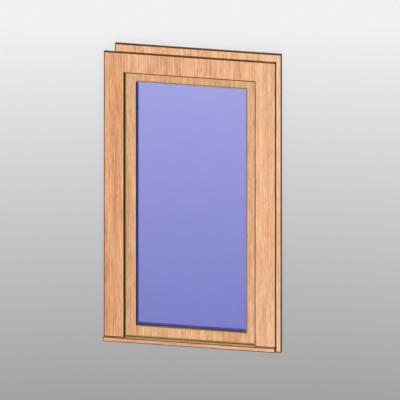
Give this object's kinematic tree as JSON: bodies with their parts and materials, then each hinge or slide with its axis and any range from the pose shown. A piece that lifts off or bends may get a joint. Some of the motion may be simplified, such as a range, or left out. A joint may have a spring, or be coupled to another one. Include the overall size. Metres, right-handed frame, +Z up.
{
  "type": "timber window",
  "caption": "Tall timber window with a closed sash of blue-tinted insulating glass, flat casing boards outdoors and indoors with a wall channel between them, and a projecting sill.",
  "frame": {"origin": "middle of the sill's flat underside, in the plane of the outer wall face", "axes": "+X along the wall, to the right seen from outdoors; +Y from outdoors to indoors; +Z up"},
  "size_m": [0.74, 0.162, 1.283],
  "materials": {
    "casing_timber": "clear satin",
    "frame_timber": "clear satin",
    "inner_timber": "clear satin",
    "sash_timber": "clear satin",
    "tinted_glass": "polished",
    "spacer_bar": "matt",
    "gasket": "matt",
    "setting_block": "matt"
  },
  "bodies": {
    "root": {"exterior_casing_left": "casing_timber", "exterior_casing_right": "casing_timber", "exterior_casing_head": "casing_timber", "sill": "casing_timber", "jamb_left": "frame_timber", "jamb_right": "frame_timber", "head_jamb": "frame_timber", "sill_stop": "frame_timber", "interior_casing_left": "inner_timber", "interior_casing_right": "inner_timber", "interior_casing_head": "inner_timber", "interior_casing_bottom": "inner_timber", "sash_stile_left": "sash_timber", "sash_stile_right": "sash_timber", "sash_top_rail": "sash_timber", "sash_bottom_rail": "sash_timber", "glazing_bead_left": "sash_timber", "glazing_bead_right": "sash_timber", "glazing_bead_top": "sash_timber", "glazing_bead_bottom": "sash_timber", "outer_pane": "tinted_glass", "inner_pane": "tinted_glass", "spacer_left": "spacer_bar", "spacer_right": "spacer_bar", "spacer_top": "spacer_bar", "spacer_bottom": "spacer_bar", "outer_gasket_left": "gasket", "outer_gasket_right": "gasket", "outer_gasket_top": "gasket", "outer_gasket_bottom": "gasket", "inner_gasket_left": "gasket", "inner_gasket_right": "gasket", "inner_gasket_top": "gasket", "inner_gasket_bottom": "gasket", "weatherstrip_left": "gasket", "weatherstrip_right": "gasket", "weatherstrip_top": "gasket", "weatherstrip_bottom": "gasket", "setting_block_left": "setting_block", "setting_block_right": "setting_block"}
  },
  "joints": []
}
